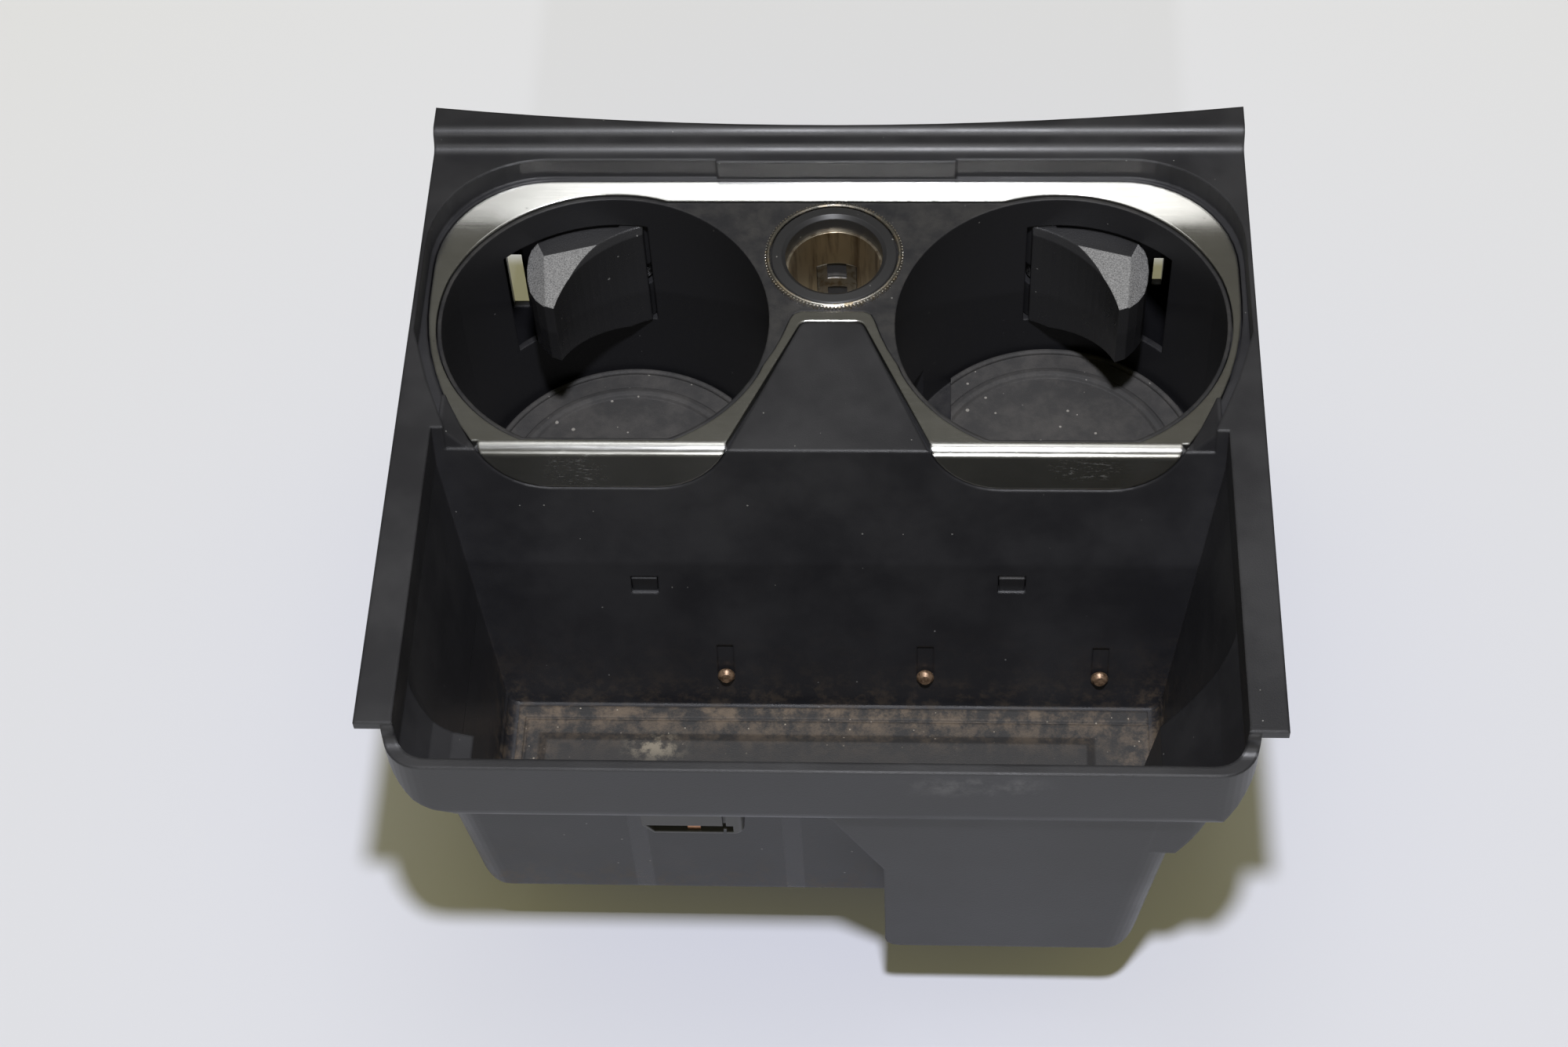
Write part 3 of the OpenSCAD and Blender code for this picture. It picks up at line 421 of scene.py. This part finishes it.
# Socket disc: the insulating disc at the bottom of the barrel that carries the centre contact.
# Pressed board, grey-brown and matt.
board, tree, shader = finish_of("disc_board", (0.22, 0.20, 0.17), 0.6, edge=0.0002)
fibres = noise(tree, place_mm(tree)[0], 0.6, 5.0)
give(tree, shader, mix(tree, fibres, (0.16, 0.15, 0.13, 1), (0.28, 0.26, 0.22, 1)))
dress(nodes["socket_disc"], board)

# Centre contact and terminals: the stud in the disc, and the two blades under the socket.
# Brass, the stud turned and the blades stamped, tarnished in patches.
brass, tree, shader = finish_of("brass", (0.62, 0.48, 0.26), 0.3, metal=1.0, edge=0.0002)
tarnished = step(tree, noise(tree, place_mm(tree)[0], 0.8, 4.0), 0.4, 0.7)
give(tree, shader, mix(tree, tarnished, (0.64, 0.50, 0.27, 1), (0.38, 0.27, 0.14, 1)))
for name in ("socket_contact", "socket_terminals"):
    dress(nodes[name], brass)

# Wall pegs: three small studs low on the bin side of the block, pushed into holes in its face.
# Browned metal with darker spots.
rusty, tree, shader = finish_of("peg_brown", (0.20, 0.13, 0.08), 0.45, metal=0.6, edge=0.0003)
spotted = step(tree, noise(tree, place_mm(tree)[0], 0.9, 5.0, 0.7), 0.4, 0.65)
give(tree, shader, mix(tree, spotted, (0.30, 0.20, 0.13, 1), (0.10, 0.06, 0.035, 1)))
dress(nodes["wall_pegs"], rusty)

# Bracket: the small hollow housing with a rounded post on the set-back part of the front wall.
# Half gloss black plastic like the tray, a little paler where it is rubbed.
rubbed, tree, shader = finish_of("bracket_black", (0.04, 0.04, 0.043), 0.36, edge=0.0005, grain=0.06)
rubbing = noise(tree, place_mm(tree)[0], 0.2, 4.0)
give(tree, shader, mix(tree, rubbing, (0.034, 0.034, 0.037, 1), (0.058, 0.058, 0.062, 1)))
dress(nodes["bracket_housing"], rubbed)

# Bracket contact: the small contact that shows in the slot of the bracket.
# Bare copper; the small hole in the wall behind it is where its wire would leave.
copper, tree, shader = finish_of("bare_copper", (0.6, 0.33, 0.18), 0.3, metal=1.0, edge=0.0001)
oxide = noise(tree, place_mm(tree)[0], 1.2, 4.0)
give(tree, shader, mix(tree, oxide, (0.62, 0.34, 0.19, 1), (0.45, 0.22, 0.12, 1)))
dress(nodes["bracket_contact"], copper)

# Stage: a plain pale paper floor, soft studio light and the camera of the photo.
# The paper is a little darker where the near key lamp is stronger, so that it looks even.
floor_half = 4
corners = [(-floor_half, -floor_half, 0), (floor_half, -floor_half, 0), (floor_half, floor_half, 0),
           (-floor_half, floor_half, 0)]
floor_mesh = bpy.data.meshes.new("floor")
floor_mesh.from_pydata(corners, [], [(0, 1, 2, 3)])
floor = bpy.data.objects.new("floor", floor_mesh)
bpy.context.collection.objects.link(floor)
paper, tree, shader = finish_of("paper", (0.55, 0.55, 0.56), 0.9, edge=0.0)
shader.inputs["Specular IOR Level"].default_value = 0.0
key_place = Vector((0.030, -0.270, 0.845))
key_reach, key_falloff, key_share, other_share = 889.0, 2.5, 3.0, 0.95
paper_level, paper_most, paper_tint = 2.66, 0.95, (0.85, 0.87, 1.0, 1)
from_key = put(tree, "VectorMath", {0: place_mm(tree)[0], 1: key_place * 1000}, operation="DISTANCE")
near = maths(tree, "POWER", maths(tree, "DIVIDE", key_reach, from_key.outputs["Value"]), key_falloff)
lit = maths(tree, "MULTIPLY_ADD", near, key_share, other_share)
shade = maths(tree, "MINIMUM", maths(tree, "DIVIDE", paper_level, lit), paper_most)
give(tree, shader, mix(tree, shade, (0, 0, 0, 1), paper_tint))
dress(floor, paper)

# the world: a warm fill for shadows, a dim room in what mirrors, and a plain pale backdrop
world = bpy.data.worlds.new("studio")
bpy.context.scene.world = world
world.use_nodes = True
tree = world.node_tree
tree.nodes.clear()
fill = put(tree, "Background", {"Color": (1.0, 0.89, 0.27, 1), "Strength": 0.30})
room = put(tree, "Background", {"Color": (1.0, 0.96, 0.80, 1), "Strength": 0.080})
backdrop = put(tree, "Background", {"Color": (0.76, 0.765, 0.80, 1), "Strength": 1.0})
path = put(tree, "LightPath").outputs
mirrored = put(tree, "MixShader", {0: path["Is Glossy Ray"], 1: fill.outputs[0], 2: room.outputs[0]})
seen = put(tree, "MixShader", {0: path["Is Camera Ray"], 1: mirrored.outputs[0], 2: backdrop.outputs[0]})
tree.links.new(seen.outputs[0], put(tree, "OutputWorld").inputs[0])


def lamp(name, kind, place, aim, energy, colour=(1, 1, 1), **settings):
    data = bpy.data.lights.new(name, kind)
    data.energy = energy
    data.color = colour
    for key, value in settings.items():
        setattr(data, key, value)
    made = bpy.data.objects.new(name, data)
    made.location = place
    made.rotation_euler = (Vector(aim) - Vector(place)).to_track_quat("-Z", "Y").to_euler()
    bpy.context.collection.objects.link(made)


middle = (0.0, 0.0, 0.08)
rear_band = (0.0, 0.07, 0.106)
front_rise = math.tan(math.radians(25))
lamp("key", "AREA", key_place, middle, 7.9, (0.93, 0.94, 1.0), size=0.05, shape="DISK")
lamp("front", "SUN", (0.0, -1.0, middle[2] + front_rise), middle, 0.45, angle=math.radians(1.5))
lamp("top", "AREA", (0.0, 0.15, 1.3), middle, 1.0, size=0.9, size_y=0.5, shape="RECTANGLE")
lamp("rear", "AREA", (-0.025, 0.42, 1.36), rear_band, 0.9, size=0.46, size_y=0.30, shape="RECTANGLE")

# the camera: its tilt from straight down, its lean to the side and its turn, in degrees
camera_tilt, camera_lean, camera_turn = 35.349, 2.201, 2.001
camera = bpy.data.objects.new("camera", bpy.data.cameras.new("camera"))
camera.data.lens = 64.8
camera.data.sensor_width = 36.0
camera.data.clip_start = 0.05
camera.data.clip_end = 20.0
camera.location = (0.0223, -0.3741, 0.5991)
camera.rotation_euler = [math.radians(angle) for angle in (camera_tilt, camera_lean, camera_turn)]
bpy.context.collection.objects.link(camera)
bpy.context.scene.camera = camera
bpy.context.scene.view_settings.view_transform = "Standard"
